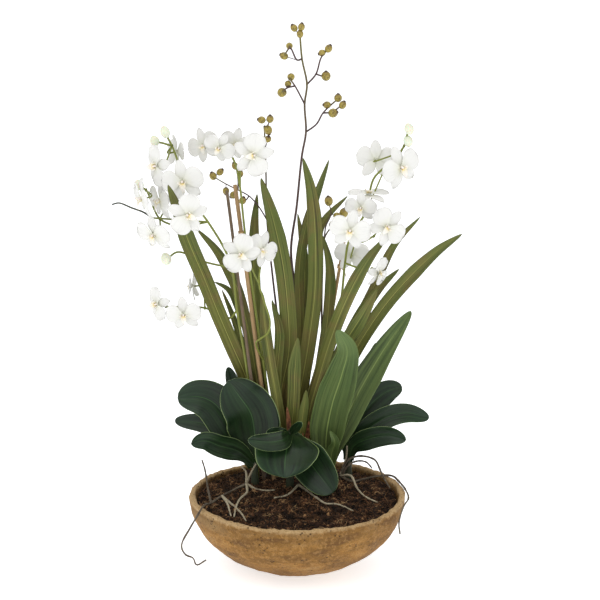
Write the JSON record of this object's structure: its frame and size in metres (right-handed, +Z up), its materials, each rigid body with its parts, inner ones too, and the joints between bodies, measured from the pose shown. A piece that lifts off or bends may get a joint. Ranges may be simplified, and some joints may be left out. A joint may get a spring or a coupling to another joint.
{
  "type": "potted moth orchid",
  "caption": "White moth orchids staked in a low clay bowl of bark, with oval orchid leaves, tall strap leaves, berry sprays and bare roots.",
  "frame": {"origin": "centre of the bowl's flat foot, on the surface that it stands on", "axes": "+Z up; the front, which the picture shows, looks along -Y; +X to the viewer's right"},
  "size_m": [0.5598, 0.3812, 0.8844],
  "materials": {
    "clay": "rough unglazed ochre clay, stained and pitted",
    "soil": "dark bark and coir fibre, matt",
    "strap_leaf": "satin olive leaf",
    "lance_leaf": "satin light green leaf with fine parallel veins",
    "orchid_leaf": "waxy dark green leaf with a pale edge",
    "flower_stem": "satin green stem",
    "petal": "soft white petal, a little see-through",
    "berry": "olive gold berries on thin brown twigs",
    "bamboo": "dry split bamboo",
    "raffia": "dry straw",
    "root": "dry grey-brown root"
  },
  "bodies": {
    "root": {"bowl": "clay", "soil": "soil", "strap_leaves_left": "strap_leaf", "strap_leaves_centre": "strap_leaf", "strap_leaves_right": "strap_leaf", "strap_leaves_front": "strap_leaf", "lance_leaves": "lance_leaf", "orchid_leaves_left": "orchid_leaf", "orchid_leaves_front": "orchid_leaf", "orchid_leaves_right": "orchid_leaf", "flower_stem_left": "flower_stem", "flower_stem_middle": "flower_stem", "flower_stem_right": "flower_stem", "berry_spray_tall": "berry", "berry_spray_left": "berry", "berry_spray_right": "berry", "stake_dark": "bamboo", "stake_pale": "bamboo", "stake_right": "bamboo", "raffia_tie_left": "raffia", "raffia_tie_right": "raffia", "roots_left": "root", "roots_front": "root", "roots_right": "root", "bloom_left_1": "petal", "bloom_left_2": "petal", "bloom_left_3": "petal", "bloom_left_4": "petal", "bloom_left_5": "petal", "bloom_left_6": "petal", "bloom_left_7": "petal", "bloom_left_8": "petal", "bloom_left_9": "petal", "bloom_left_10": "petal", "bloom_middle_1": "petal", "bloom_middle_2": "petal", "bloom_middle_3": "petal", "bloom_middle_4": "petal", "bloom_middle_5": "petal", "bloom_middle_6": "petal", "bloom_right_1": "petal", "bloom_right_2": "petal", "bloom_right_3": "petal", "bloom_right_4": "petal", "bloom_right_5": "petal", "bloom_right_6": "petal", "bloom_right_7": "petal", "bloom_right_8": "petal"}
  },
  "joints": []
}
